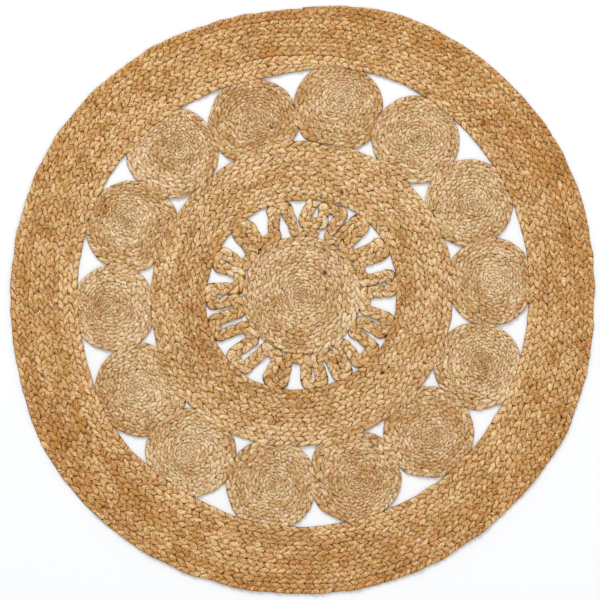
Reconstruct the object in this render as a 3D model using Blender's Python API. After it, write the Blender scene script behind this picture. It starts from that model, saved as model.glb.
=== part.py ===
"""Round jute rug, 1.2 m across, made of flat three-strand braids sewn edge to edge.

A wide outer band and an inner band hold a ring of fourteen coiled medallions between them.
Inside the inner band one braid runs in hairpin loops round a coiled centre disc. Each piece
is one closed solid. It is flat below, and its top is raised in a rib for each row of braid.
Metres, +Z up, with the origin on the floor under the middle of the rug.
"""

from collections import namedtuple
from math import atan2, cos, degrees, hypot, pi, radians, sin

import bmesh
import bpy
from mathutils import Vector

MM = 0.001

# Thickness of the braid and the space between sewn pieces.
SEAM = 0.3 * MM
THICK = 8.5 * MM  # top of a row
CREASE = 6.2 * MM  # bottom of the crease between two rows
SIDE = 3.5 * MM  # height at which a piece is widest
TUCK = 0.98  # the underside reaches this far towards a piece's edge

OUTER_ROWS = 7
INNER_ROWS = 6
MEDALLION_TURNS = (0.19, 0.18, 0.17)  # outermost turn first, as shares of the radius
CENTRE_TURNS = (0.15, 0.14, 0.14, 0.13)  # the rest of a radius is one low dome
BAND_BORE = 1.0  # a band is turned with this bore and width, before it is fitted to its edges

OUTER_STEPS = 72
INNER_STEPS = 60
MEDALLION_STEPS = 26
CENTRE_STEPS = 36

# The inner band, the loops and the centre disc lie a little off the rug's middle.
HEART = Vector((1.0, 10.0, 0.0)) * MM
CENTRE_RADIUS = 120.0 * MM

# Edges of the two bands in mm, every 24 degrees anticlockwise from +X. The outer band is
# measured from the rug's middle and the inner band from the heart.
Edge = namedtuple("Edge", "outer inner")
OUTER_EDGES = (
    Edge(outer=597.0, inner=466.0),
    Edge(outer=610.0, inner=475.5),
    Edge(outer=613.5, inner=482.5),
    Edge(outer=614.0, inner=485.0),
    Edge(outer=592.0, inner=461.5),
    Edge(outer=597.0, inner=461.5),
    Edge(outer=600.0, inner=465.0),
    Edge(outer=594.0, inner=460.0),
    Edge(outer=594.5, inner=454.0),
    Edge(outer=605.5, inner=462.5),
    Edge(outer=604.0, inner=458.5),
    Edge(outer=598.5, inner=462.5),
    Edge(outer=600.5, inner=464.0),
    Edge(outer=600.0, inner=463.5),
    Edge(outer=603.5, inner=463.0),
)
INNER_EDGES = (
    Edge(outer=309.0, inner=194.5),
    Edge(outer=313.5, inner=200.0),
    Edge(outer=315.5, inner=202.0),
    Edge(outer=316.0, inner=198.0),
    Edge(outer=312.0, inner=193.0),
    Edge(outer=304.0, inner=192.0),
    Edge(outer=303.0, inner=191.5),
    Edge(outer=305.0, inner=193.0),
    Edge(outer=309.0, inner=198.0),
    Edge(outer=318.0, inner=199.0),
    Edge(outer=318.0, inner=200.0),
    Edge(outer=309.0, inner=194.0),
    Edge(outer=306.0, inner=191.0),
    Edge(outer=305.0, inner=192.0),
    Edge(outer=306.0, inner=193.0),
)

# The medallions, clockwise from the top of the rug: the direction of each one's middle from
# the rug's, its distance and its free radius in mm, before its neighbours press it flat.
Medallion = namedtuple("Medallion", "degrees away radius")
MEDALLIONS = (
    Medallion(degrees=79.0, away=398.0, radius=91.5),
    Medallion(degrees=54.5, away=402.0, radius=88.5),
    Medallion(degrees=30.0, away=395.5, radius=89.5),
    Medallion(degrees=5.5, away=388.0, radius=90.0),
    Medallion(degrees=-20.5, away=385.0, radius=89.5),
    Medallion(degrees=-46.0, away=375.0, radius=92.0),
    Medallion(degrees=-73.0, away=376.0, radius=95.0),
    Medallion(degrees=-99.0, away=381.5, radius=92.5),
    Medallion(degrees=-126.0, away=383.0, radius=92.0),
    Medallion(degrees=-150.5, away=373.0, radius=94.5),
    Medallion(degrees=-177.5, away=381.0, radius=87.0),
    Medallion(degrees=156.5, away=377.0, radius=93.0),
    Medallion(degrees=131.2, away=399.5, radius=94.0),
    Medallion(degrees=105.0, away=375.0, radius=91.0),
)

# The braid of the loops, clockwise. Each loop rises from the centre disc to the inner band
# and falls back beside itself. The degrees are where each run starts and ends. Where two
# runs lie close together the braid is squeezed narrower, and a slit is left between them.
LOOP_HALF_WIDTH = 12.0 * MM
LOOP_SLIT = 0.8 * MM
LOOP_HOLLOW = 2.3 * MM  # the least radius of a bend's inner edge
LOOP_CORNER = 12.5 * MM  # bend radius of the braid's middle in a wide bend's two corners
LOOP_ROUND = 14.0 * MM  # a bend narrower than twice this is one round hairpin
CORNER_DEGREES = (0, 30, 60, 90)
Loop = namedtuple("Loop", "rise_low rise_high fall_high fall_low")
LOOPS = (
    Loop(rise_low=74.3, rise_high=75.0, fall_high=63.5, fall_low=65.2),
    Loop(rise_low=57.3, rise_high=54.0, fall_high=47.0, fall_low=48.3),
    Loop(rise_low=36.5, rise_high=33.7, fall_high=26.5, fall_low=28.3),
    Loop(rise_low=12.4, rise_high=12.8, fall_high=3.0, fall_low=2.4),
    Loop(rise_low=-12.6, rise_high=-15.2, fall_high=-25.2, fall_low=-24.6),
    Loop(rise_low=-35.2, rise_high=-35.6, fall_high=-49.5, fall_low=-48.5),
    Loop(rise_low=-57.3, rise_high=-58.3, fall_high=-65.8, fall_low=-66.0),
    Loop(rise_low=-76.5, rise_high=-75.8, fall_high=-86.8, fall_low=-85.9),
    Loop(rise_low=-102.2, rise_high=-102.7, fall_high=-111.3, fall_low=-110.7),
    Loop(rise_low=-125.2, rise_high=-127.5, fall_high=-138.6, fall_low=-138.0),
    Loop(rise_low=-151.2, rise_high=-153.5, fall_high=-163.7, fall_low=-164.7),
    Loop(rise_low=-175.2, rise_high=-174.2, fall_high=-184.5, fall_low=-185.3),
    Loop(rise_low=-199.4, rise_high=-199.0, fall_high=-208.4, fall_low=-207.4),
    Loop(rise_low=-222.0, rise_high=-223.5, fall_high=-232.2, fall_low=-231.3),
    Loop(rise_low=-246.4, rise_high=-251.2, fall_high=-260.3, fall_low=-263.2),
)
# The braid starts at the inner band beside the first loop, and its other end is laid along
# the centre disc, under that start.
Run = namedtuple("Run", "low high")
START = Run(low=87.3, high=82.2)
START_TURN_EDGE = 138.5 * MM  # how far from the heart the start's turn keeps
START_GAP = 0.4 * MM  # more room for the start's square end
START_RUN = 10.0 * MM  # how far the start runs straight in
TAIL_DEGREES = (-272.0, -276.5, -281.5, -286.5)
TAIL_HALF_WIDTH = 8.0 * MM  # the tail is pulled tight

# Section of the loop braid, flat below: across and up, as shares of its width and height.
LOOP_SIDE = 0.42
LOOP_SECTION = (
    (-0.5, LOOP_SIDE),
    (-0.26, 1.0),
    (0.26, 1.0),
    (0.5, LOOP_SIDE),
    (0.42, 0.0),
    (-0.42, 0.0),
)
LOOP_LEVELS = (0.0, LOOP_SIDE * THICK, THICK)

BAND_JUTE = (0.53, 0.31, 0.13, 1.0)
COIL_JUTE = (0.58, 0.38, 0.18, 1.0)


def blend(before, start, end, after, share):
    """A smooth way from start to end that keeps the direction of its neighbours."""
    straight = (end - before) * share
    bow = (2 * before - 5 * start + 4 * end - after) * share**2
    twist = (3 * start - before - 3 * end + after) * share**3
    return start + 0.5 * (straight + bow + twist)


def edge_through(radii):
    """A closed smooth edge through evenly spaced radii in mm, as a function of the angle."""
    step = 360.0 / len(radii)

    def radius(angle):
        place = (degrees(angle) % 360.0) / step
        i = int(place)
        near = [radii[(i + k) % len(radii)] * MM for k in (-1, 0, 1, 2)]
        return blend(*near, place - i)

    return radius


rim = edge_through([edge.outer for edge in OUTER_EDGES])
opening = edge_through([edge.inner for edge in OUTER_EDGES])
inner_rim = edge_through([edge.outer for edge in INNER_EDGES])
inner_opening = edge_through([edge.inner for edge in INNER_EDGES])


def sag(radius, steps):
    """How far a round edge made of straight steps falls short of its true radius."""
    return radius * (1 - cos(pi / steps))


def polar(radius, angle):
    return Vector((radius * cos(angle), radius * sin(angle), 0.0))


def ribs(widths):
    """The top of a section: a crest over each row's middle and a crease between rows."""
    points = []
    edge = 0.0
    for width in widths:
        points.append((edge + width / 2, THICK))
        edge += width
        points.append((edge, CREASE))
    return points[:-1]


def band_section(rows):
    """A closed section across a band, from its inner edge at 0 to its outer edge at 1."""
    top = ribs([1 / rows] * rows)
    return [(1 - TUCK, 0.0), (0.0, SIDE), *top, (1.0, SIDE), (TUCK, 0.0)]


def coil_section(turns):
    """An open section from a coil's middle over its top to the rim and back below."""
    rim_rows = [(1 - across, height) for across, height in ribs([*turns, 1 - sum(turns)])]
    return [(0.0, THICK), *reversed(rim_rows), (1.0, SIDE), (TUCK, 0.0), (0.0, 0.0)]


def spun(section, bore, steps):
    """The section turned about the Z axis. It starts at the bore's radius, or at the middle."""
    bm = bmesh.new()
    points = [bm.verts.new((bore + across, 0.0, height)) for across, height in section]
    lines = [bm.edges.new(pair) for pair in zip(points, points[1:])]
    if bore:
        lines.append(bm.edges.new((points[-1], points[0])))
    bmesh.ops.spin(
        bm, geom=points + lines, axis=(0, 0, 1), angle=2 * pi, steps=steps, use_merge=True
    )
    bmesh.ops.remove_doubles(bm, verts=bm.verts, dist=1e-6)
    bmesh.ops.recalc_face_normals(bm, faces=bm.faces)
    return bm


def fit(bm, bore, inner, outer):
    """Moves the points of a turned shape, 1 wide from its bore, to fill two uneven edges."""
    for vert in bm.verts:
        across = hypot(vert.co.x, vert.co.y) - bore
        angle = atan2(vert.co.y, vert.co.x)
        place = polar(inner(angle) + across * (outer(angle) - inner(angle)), angle)
        vert.co.xy = place.xy


def jute(name, colour):
    material = bpy.data.materials.new(name)
    material.use_nodes = True
    shader = material.node_tree.nodes["Principled BSDF"]
    shader.inputs["Base Color"].default_value = colour
    shader.inputs["Roughness"].default_value = 0.85
    shader.inputs["Metallic"].default_value = 0.0
    return material


def place(name, data, centre, colour):
    """Puts a piece in the rug's collection with its own material, its origin at its middle."""
    piece = bpy.data.objects.new(name, data)
    piece.location = centre
    piece.parent = rug
    data.materials.append(jute("jute_" + name, colour))
    collection.objects.link(piece)
    return piece


def mesh_piece(name, bm, centre, colour):
    mesh = bpy.data.meshes.new(name)
    bm.to_mesh(mesh)
    bm.free()
    mesh.shade_smooth()
    return place(name, mesh, centre, colour)


def make_outer_band():
    bm = spun(band_section(OUTER_ROWS), BAND_BORE, OUTER_STEPS)
    fit(bm, BAND_BORE, opening, rim)
    return mesh_piece("outer_band", bm, Vector(), BAND_JUTE)


def make_inner_band():
    bm = spun(band_section(INNER_ROWS), BAND_BORE, INNER_STEPS)
    fit(bm, BAND_BORE, inner_opening, inner_rim)
    return mesh_piece("inner_band", bm, HEART, BAND_JUTE)


def medallion_middle(medallion):
    return polar(medallion.away * MM, radians(medallion.degrees))


def medallion_room(index):
    """Says whether a point is inside one medallion's circle and clear of all it touches."""
    own = MEDALLIONS[index]
    middle = medallion_middle(own)
    radius = own.radius * MM
    fences = []
    for other in (MEDALLIONS[index - 1], MEDALLIONS[(index + 1) % len(MEDALLIONS)]):
        towards = medallion_middle(other) - middle
        apart = towards.length
        shared = (apart**2 + radius**2 - (other.radius * MM) ** 2) / (2 * apart)
        fences.append((towards.normalized(), shared - SEAM / 2))
    rim_gap = SEAM + sag(own.away * MM + radius, OUTER_STEPS)
    # The medallion's straight steps cut across the inner band's round edge.
    heart_gap = SEAM + sag(radius, MEDALLION_STEPS) / 2

    def free(point):
        offset = point - middle
        from_heart = point - HEART
        return (
            offset.length <= radius
            and all(offset.dot(way) <= reach for way, reach in fences)
            and point.length <= opening(atan2(point.y, point.x)) - rim_gap
            and from_heart.length >= inner_rim(atan2(from_heart.y, from_heart.x)) + heart_gap
        )

    return free


def medallion_edge(index):
    """The medallion's uneven edge: as far as it is free, found by halving the search."""
    middle = medallion_middle(MEDALLIONS[index])
    free = medallion_room(index)

    def radius(angle):
        low = 0.0
        high = MEDALLIONS[index].radius * MM
        for _ in range(24):
            half = (low + high) / 2
            if free(middle + polar(half, angle)):
                low = half
            else:
                high = half
        return low

    return radius


def make_medallion(index):
    bm = spun(coil_section(MEDALLION_TURNS), 0, MEDALLION_STEPS)
    fit(bm, 0, lambda angle: 0.0, medallion_edge(index))
    name = f"medallion_{index + 1:02d}"
    return mesh_piece(name, bm, medallion_middle(MEDALLIONS[index]), COIL_JUTE)


def make_centre_disc():
    bm = spun(coil_section(CENTRE_TURNS), 0, CENTRE_STEPS)
    fit(bm, 0, lambda angle: 0.0, lambda angle: CENTRE_RADIUS)
    return mesh_piece("centre_disc", bm, HEART, COIL_JUTE)


RUNS = [START]
for loop in LOOPS:
    RUNS += [Run(loop.rise_low, loop.rise_high), Run(loop.fall_low, loop.fall_high)]


def band_reach(first, last):
    """How far out the loop braid may reach between two directions, clear of the inner band."""
    nearest = min(inner_opening(radians(angle)) for angle in (first, (first + last) / 2, last))
    return nearest - SEAM - sag(nearest, INNER_STEPS)


def run_angle(run, share):
    """The direction of a run in degrees: share is 0 at its low end and 1 at its high end."""
    return run.low + (run.high - run.low) * share


def free_half(index, share, radius):
    """Half the width that a run's neighbours leave it, at most the braid's own."""
    own = run_angle(RUNS[index], share)
    beside = [run_angle(run, share) for run in RUNS[max(index - 1, 0) : index + 2]]
    apart = min(abs(angle - own) for angle in beside if angle != own)
    return min(LOOP_HALF_WIDTH, (radians(apart) * radius - LOOP_SLIT) / 2)


def quarter(index, high, apex, turning, half, side):
    """A quarter turn between a run and its bend's apex, as places with half widths.

    high is 1 at the inner band and 0 at the centre disc. turning is the bend's radius. side
    is 1 where the run leads into the bend and -1 where the bend leads into the run.
    """
    outwards = 2 * high - 1
    run = radians(run_angle(RUNS[index], high))
    points = []
    for step in CORNER_DEGREES[::side]:
        beside = turning * (1 - cos(radians(step)))
        radius = apex - outwards * turning * (1 - sin(radians(step)))
        place = polar(radius, run - side * beside / apex)
        points.append((place, min(half, free_half(index, high, radius))))
    return points


def bend(index):
    """The hairpin from a run to the next one. Those after an even run are at the disc."""
    high = index % 2
    outwards = 2 * high - 1
    first, last = (run_angle(run, high) for run in RUNS[index : index + 2])
    edge = band_reach(first, last) if high else CENTRE_RADIUS + SEAM
    if index == 0:
        edge = START_TURN_EDGE
    room = radians(first - last) / 2
    widest = min(room * (edge - outwards * LOOP_HALF_WIDTH), LOOP_CORNER) - LOOP_HOLLOW
    half = min(LOOP_HALF_WIDTH, widest)
    apex = edge - outwards * half
    turning = room * apex if room * apex < LOOP_ROUND else LOOP_CORNER
    into = quarter(index, high, apex, turning, half, 1)
    out_of = quarter(index + 1, high, apex, turning, half, -1)
    return into + out_of[0 if turning == LOOP_CORNER else 1 :]


def run_middle(index):
    """The middle of a run, where the braid is widest."""
    direction = radians(run_angle(RUNS[index], 0.5))
    radius = (CENTRE_RADIUS + inner_opening(direction)) / 2
    return polar(radius, direction), free_half(index, 0.5, radius)


def loop_route():
    """The middle of the loop braid, seen from the heart: places in order with half widths."""
    half = free_half(0, 1, inner_opening(radians(START.high)))
    aside = degrees(half / inner_opening(radians(START.high)))
    start = band_reach(START.high + aside, START.high - aside) - START_GAP
    points = [(polar(start - run, radians(START.high)), half) for run in (0.0, START_RUN)]
    points += bend(0)
    for index in range(1, len(RUNS) - 1):
        points += [*bend(index), run_middle(index + 1)]
    tail_radius = CENTRE_RADIUS + SEAM + TAIL_HALF_WIDTH
    points += quarter(len(RUNS) - 1, 0, tail_radius, LOOP_CORNER, TAIL_HALF_WIDTH, 1)
    points += [(polar(tail_radius, radians(angle)), TAIL_HALF_WIDTH) for angle in TAIL_DEGREES]
    return points


def make_loop_braid():
    """One braid: its flat section swept along the route, and levelled to one height."""
    section = bpy.data.curves.new("loop_section", "CURVE")
    outline = section.splines.new("POLY")
    outline.points.add(len(LOOP_SECTION) - 1)
    for point, (across, up) in zip(outline.points, LOOP_SECTION):
        point.co = (across * 2 * LOOP_HALF_WIDTH, up * THICK, 0.0, 1.0)
    outline.use_cyclic_u = True
    guide = bpy.data.objects.new("loop_section", section)
    guide.hide_render = True
    guide.display_type = "WIRE"
    guides.objects.link(guide)

    route = loop_route()
    curve = bpy.data.curves.new("loop_sweep", "CURVE")
    curve.dimensions = "3D"
    curve.twist_mode = "Z_UP"
    curve.bevel_mode = "OBJECT"
    curve.bevel_object = guide
    curve.use_fill_caps = True
    spline = curve.splines.new("POLY")
    spline.points.add(len(route) - 1)
    for point, (spot, half) in zip(spline.points, route):
        point.co = (*spot, 1.0)
        point.radius = half / LOOP_HALF_WIDTH
    sweep = bpy.data.objects.new("loop_sweep", curve)
    guides.objects.link(sweep)

    # A curve's radius scales the height too, so the heights are set back to the section's.
    shape = sweep.evaluated_get(bpy.context.evaluated_depsgraph_get())
    mesh = bpy.data.meshes.new_from_object(shape)
    bpy.data.objects.remove(sweep)
    bm = bmesh.new()
    bm.from_mesh(mesh)
    bpy.data.meshes.remove(mesh)
    bmesh.ops.remove_doubles(bm, verts=bm.verts, dist=1e-6)
    for vert in bm.verts:
        vert.co.z = min(LOOP_LEVELS, key=lambda level: abs(level - vert.co.z))
    return mesh_piece("loop_braid", bm, HEART, BAND_JUTE)


for old in list(bpy.data.objects):
    bpy.data.objects.remove(old)
collection = bpy.data.collections.new("round_jute_rug")
guides = bpy.data.collections.new("guides")
for made in (collection, guides):
    bpy.context.scene.collection.children.link(made)
rug = bpy.data.objects.new("rug", None)
collection.objects.link(rug)

band = make_outer_band()
for index in range(len(MEDALLIONS)):
    make_medallion(index)
make_inner_band()
make_loop_braid()
make_centre_disc()

# The rug's middle is put over the origin, halfway between its furthest points.
low = [min(vert.co[k] for vert in band.data.vertices) for k in (0, 1)]
high = [max(vert.co[k] for vert in band.data.vertices) for k in (0, 1)]
rug.location = (-(low[0] + high[0]) / 2, -(low[1] + high[1]) / 2, 0.0)
print("rug moved by", [round(v / MM, 2) for v in rug.location], "mm")
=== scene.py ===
# %% [markdown]
# # A round rug of jute braid
#
# The whole rug is one kind of thing: a flat plait of three jute strands. The maker coils it
# side by side into bands and small round medallions, lays one length of it in open loops,
# and sews the turns together through their edges. So this script needs one good braid, and
# then a route for every length of it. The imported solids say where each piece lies, and
# each braid is fitted between their edges.

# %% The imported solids, and their box
from collections import namedtuple
from functools import partial
from math import atan, cos, degrees, radians, sin

import bmesh
import bpy
import numpy as np
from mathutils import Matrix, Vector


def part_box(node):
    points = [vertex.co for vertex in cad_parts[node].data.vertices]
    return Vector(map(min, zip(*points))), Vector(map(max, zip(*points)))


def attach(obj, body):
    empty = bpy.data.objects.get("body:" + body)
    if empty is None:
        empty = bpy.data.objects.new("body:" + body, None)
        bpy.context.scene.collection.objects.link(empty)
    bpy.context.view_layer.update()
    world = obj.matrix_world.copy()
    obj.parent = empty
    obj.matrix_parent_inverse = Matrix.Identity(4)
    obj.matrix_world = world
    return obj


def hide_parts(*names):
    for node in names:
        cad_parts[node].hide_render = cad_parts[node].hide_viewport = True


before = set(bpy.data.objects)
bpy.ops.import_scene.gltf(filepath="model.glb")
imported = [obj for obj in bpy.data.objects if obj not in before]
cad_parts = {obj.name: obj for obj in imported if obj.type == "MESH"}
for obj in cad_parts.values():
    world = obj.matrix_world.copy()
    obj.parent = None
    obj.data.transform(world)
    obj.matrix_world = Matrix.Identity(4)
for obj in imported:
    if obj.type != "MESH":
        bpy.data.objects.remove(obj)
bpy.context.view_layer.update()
MM = 0.001
print("solids:", len(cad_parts))

# %% [markdown]
# ## Camera, floor and light
#
# The rug is seen from straight above. A long lens keeps its rim from leaning outwards. One
# broad soft light stands towards the top of the picture, which puts a faint shadow under the
# rim's lower side and a shaded side on every strand, and the pale surroundings fill the rest.

# %% The camera
VIEW_WIDTH = 1224.5 * MM  # what the picture's frame spans on the floor
VIEW_MIDDLE = (-3.7 * MM, -0.3 * MM)
CAMERA_HEIGHT = 6.0

lens = bpy.data.cameras.new("camera")
lens.angle = 2 * atan(VIEW_WIDTH / 2 / CAMERA_HEIGHT)
camera = bpy.data.objects.new("camera", lens)
camera.location = (*VIEW_MIDDLE, CAMERA_HEIGHT)
bpy.context.scene.collection.objects.link(camera)
bpy.context.scene.camera = camera
print("lens angle:", round(degrees(lens.angle), 2), "degrees")

# %% The floor
FLOOR_HALF = 6.0
FLOOR_COLOUR = (0.86, 0.865, 0.875, 1.0)
FLOOR_ROUGHNESS = 0.9


def floor_material():
    material = bpy.data.materials.new("pale_floor")
    material.use_nodes = True
    shader = material.node_tree.nodes["Principled BSDF"]
    shader.inputs["Base Color"].default_value = FLOOR_COLOUR
    shader.inputs["Roughness"].default_value = FLOOR_ROUGHNESS
    return material


def make_floor():
    bm = bmesh.new()
    bmesh.ops.create_grid(bm, x_segments=2, y_segments=2, size=FLOOR_HALF)
    mesh = bpy.data.meshes.new("floor")
    bm.to_mesh(mesh)
    bm.free()
    mesh.materials.append(floor_material())
    floor = bpy.data.objects.new("floor", mesh)
    bpy.context.scene.collection.objects.link(floor)


make_floor()
print("floor:", 2 * FLOOR_HALF, "m across")

# %% The lights
Lamp = namedtuple("Lamp", "name place size watts")
LAMPS = (
    Lamp("sky_panel", place=(-1.1, 5.6, 5.6), size=3.6, watts=350.0),
    Lamp("fill_panel", place=(3.6, -3.2, 6.4), size=5.0, watts=80.0),
)
ROOM_COLOUR = (0.98, 0.99, 1.0, 1.0)
ROOM_STRENGTH = 0.72


def make_lamp(lamp):
    data = bpy.data.lights.new(lamp.name, "AREA")
    data.shape = "DISK"
    data.size = lamp.size
    data.energy = lamp.watts
    light = bpy.data.objects.new(lamp.name, data)
    light.location = lamp.place
    light.rotation_euler = light.location.to_track_quat("Z", "Y").to_euler()
    bpy.context.scene.collection.objects.link(light)


for lamp in LAMPS:
    make_lamp(lamp)
room = bpy.data.worlds.new("pale_room")
room.use_nodes = True
glow = room.node_tree.nodes["Background"]
glow.inputs["Color"].default_value = ROOM_COLOUR
glow.inputs["Strength"].default_value = ROOM_STRENGTH
bpy.context.scene.world = room
bpy.context.scene.view_settings.view_transform = "Standard"
print("lamps:", [lamp.name for lamp in LAMPS])

# %% [markdown]
# ## Where the edges are
#
# Rows of braid have to fill each imported solid exactly, and those solids are uneven, as a
# handmade rug is. So the edges are read from the solids: at the height where a solid is
# widest, its points give the distance from a middle point at every angle. A band has two
# such edges and a round coil has one.

# %% Reading an edge
SIDE = 3.5 * MM  # the height at which a solid is widest
SAME_HEIGHT = 0.1 * MM


def middle_of(node):
    """The middle of a solid's box, seen from above."""
    low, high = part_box(node)
    return np.array([low[0] + high[0], low[1] + high[1]]) / 2


def edge_function(points, middle):
    """The distance of an edge from a middle point, as a function of the angle."""
    offset = points - middle
    angle = np.arctan2(offset[:, 1], offset[:, 0])
    order = np.argsort(angle)
    away = np.linalg.norm(offset, axis=1)[order]
    angle = angle[order]
    return lambda at: np.interp(at, angle, away, period=2 * np.pi)


def widest_points(node):
    points = np.array([vert.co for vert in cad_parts[node].data.vertices])
    return points[np.abs(points[:, 2] - SIDE) < SAME_HEIGHT][:, :2]


def edges_of_band(node, middle):
    """The inner and the outer edge of a band."""
    points = widest_points(node)
    away = np.linalg.norm(points - middle, axis=1)
    is_inner = away < (away.min() + away.max()) / 2
    return [edge_function(points[part], middle) for part in (is_inner, ~is_inner)]


def edges_of_coil(node, middle):
    """A coil has no inner edge, so the first one is a point at its middle."""
    return (lambda at: 0.0 * at), edge_function(widest_points(node), middle)


HEART = middle_of("centre_disc")
RUG_MIDDLE = np.zeros(2)
print("heart:", (HEART / MM).round(1), "mm")

# %% [markdown]
# ## Routes: how a braid is coiled
#
# A coiled band isn't a set of rings. It is one spiral, whose every turn steps outwards by one
# row. A maker lets the braid run level for most of the turn and makes the whole step in one
# place, where the spiral's two ends are tapered and sewn down. A small coil is different:
# near its middle it drifts outwards all the way round. `coil_route` mixes the two, and
# returns the middle line of the braid, its half width, its thickness and how many turns it
# has made, at close steps. `corner` is 0 on a coil: it is how much further than its half
# width a braid spreads on the outer side of a sharp bend.

# %% A route, and how thick its braid is
Route = namedtuple("Route", "x y half thick turn corner")
THICK = 8.5 * MM
FULL_HALF = 9.5 * MM  # the half width at which a braid has its full thickness
THIN_SHARE = 0.72  # the share of the thickness that a very narrow braid would keep


def thickness(half):
    """A braid that is pulled narrower is thinner as well."""
    fullness = np.clip(half / FULL_HALF, 0.0, 1.0)
    return THICK * (THIN_SHARE + (1 - THIN_SHARE) * fullness)


def length_along(route):
    steps = np.hypot(np.diff(route.x), np.diff(route.y))
    return np.concatenate([[0.0], np.cumsum(steps)])


print("a braid 12 mm wide is", round(float(thickness(6 * MM)) / MM, 1), "mm thick")

# %% The spiral of a coil
STEP_DEGREES = 1.5
THIN_END = 1.6 * MM  # the half width at which a tapered end is cut off
TUCKED = 0.45  # the share of its thickness that a braid's end keeps
FILLS_OUT = 1.5  # how much sooner an end has its full thickness than its full width
ROW_OVERLAP = 1.075  # rows are pressed into each other, so no floor shows between them


def smooth_step(share):
    share = np.clip(share, 0.0, 1.0)
    return share * share * (3 - 2 * share)


def coil_route(edges, middle, widths, start, taper, drift):
    """The route of a braid coiled anticlockwise between two edges, from the inside out.

    widths are the shares of the rows, the innermost first. start is the angle in degrees at
    which the coil begins. taper is how many degrees each step outwards takes, and drift is 1
    where inner turns drift all the way.
    """
    rows = len(widths)
    stack = np.concatenate([[0.0], np.cumsum(widths)]) / sum(widths)
    turned = np.arange(0.0, 360.0 * rows + taper, STEP_DEGREES)
    turn = np.floor(turned / 360.0)
    part = turned - 360.0 * turn
    angle = np.radians(start + turned)
    near, far = (edge(angle) for edge in edges)

    def border(row):
        """How far out the line is that a row shares with the one inside it."""
        slack = drift * np.clip(1 - row / rows, 0.0, 1.0)
        step = (1 - slack) * smooth_step(part / taper) + slack * part / 360.0
        line = np.clip(row - 1 + step, 0.0, rows)
        return near + np.interp(line, np.arange(rows + 1), stack) * (far - near)

    low, high = border(turn), border(turn + 1)
    radius = (low + high) / 2
    half = (high - low) / 2
    kept = (half > THIN_END) | ((drift > 0) & (turn == 0))
    half = np.maximum(half, THIN_END)[kept] * ROW_OVERLAP
    x = middle[0] + (radius * np.cos(angle))[kept]
    y = middle[1] + (radius * np.sin(angle))[kept]
    # A band's two ends are tucked under. A small coil's first end is hidden in its middle.
    begun = smooth_step(FILLS_OUT * turned / taper) if drift == 0 else np.ones(len(turned))
    left_over = smooth_step(FILLS_OUT * (turned[-1] - turned) / taper)
    tucked = TUCKED + (1 - TUCKED) * np.minimum(begun, left_over)[kept]
    return Route(x, y, half, thickness(half) * tucked, turned[kept] / 360.0, np.zeros(len(x)))


print("steps in a turn:", round(360 / STEP_DEGREES))

# %% [markdown]
# ## The braid
#
# A strand of a flat plait runs over the top from one edge to the middle, dives under the
# strand that crosses it, and comes back along the underside. What shows is two rows of
# plump grains that lean together in a V, half a grain apart, with a zigzag crease where they
# meet.
#
# Three crossing tubes would hide most of their faces inside each other. So the braid here is
# the skin of the plait: a grid bent into a flat tube. Its columns slant with the strands, so
# each crease between two grains lies on a column and stays sharp with six columns a grain.
# `Rib` rows give the section of the right half, over the middle of a grain and in the crease
# beside it, and the left half is its mirror image.

# %% The section of a braid
Rib = namedtuple("Rib", "degrees across_crown across_crease up_crown up_crease")
RIBS = (
    Rib(90, 0.00, 0.00, 0.54, 0.54),
    Rib(66, 0.25, 0.25, 0.90, 0.56),
    Rib(42, 0.55, 0.50, 1.00, 0.66),
    Rib(20, 0.87, 0.74, 0.86, 0.46),
    Rib(0, 1.04, 0.90, 0.44, 0.34),
    Rib(-30, 0.80, 0.78, 0.07, 0.20),
    Rib(-62, 0.40, 0.40, 0.00, 0.14),
    Rib(-90, 0.00, 0.00, 0.18, 0.18),
)
ALL_ROUND = RIBS + RIBS[-2:0:-1] + RIBS[:1]  # down the right half and back up the left
LOBE = Rib(*np.array(ALL_ROUND).T)  # the same table, with an array for each of its columns
IS_LEFT = np.arange(len(ALL_ROUND)) > len(RIBS) - 1
SIDE_INDEX = IS_LEFT.astype(int)
print("points round a braid:", len(ALL_ROUND) - 1)

# %% [markdown]
# ## Nothing lies quite true
#
# Neighbouring rows are sewn together, so they stray together. The drift of the whole rug is
# a sum of long waves that moves every braid's points alike, so no gap opens between two
# rows. Each braid also has slow waves of its own, in how tight, how thick and how straight it
# is. One seeded generator draws it all, so the rug is the same each time.

# %% Slow waves over the rug and along a braid
rng = np.random.default_rng(7)
DRIFT = 0.8 * MM
DRIFT_WAVES = 14
DRIFT_LENGTHS = (45, 130)  # the shortest and the longest wave, in mm
drift_length = rng.uniform(*DRIFT_LENGTHS, (2, DRIFT_WAVES)) * MM
drift_way = rng.uniform(0, 2 * np.pi, (2, DRIFT_WAVES))
drift_start = rng.uniform(0, 2 * np.pi, (2, DRIFT_WAVES))


def drift(x, y, axis):
    """How far a point of the rug is off its place along one axis."""
    total = np.zeros_like(x)
    for length, way, start in zip(drift_length[axis], drift_way[axis], drift_start[axis]):
        total += np.sin(2 * np.pi * (x * np.cos(way) + y * np.sin(way)) / length + start)
    return total * DRIFT / (DRIFT_WAVES / 2) ** 0.5


Wave = namedtuple("Wave", "share length")


def wave(along, length, kind):
    """A slow random change along a braid, up to kind.share either way."""
    knots = int(length / kind.length) + 4
    knot_values = rng.uniform(-1, 1, knots)
    return kind.share * np.interp(along, np.arange(knots) * kind.length, knot_values)


print("waves in the drift:", 2 * DRIFT_WAVES)

# %% [markdown]
# ## Placing the points of a braid
#
# The columns are first spread along the route, six to each V of the plait, and closer where
# the braid is narrow or pulled tight. Then each column gets its section, between a crown's
# and a crease's. Last, the sections are slanted with the strands and bent onto the route,
# and all the Vs point along it. A habit says how a braid was made: pitch is a V's length as
# a share of the braid's width, loose is how uneven the grains are, and wander is how far the
# braid strays from its route, in metres.

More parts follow.
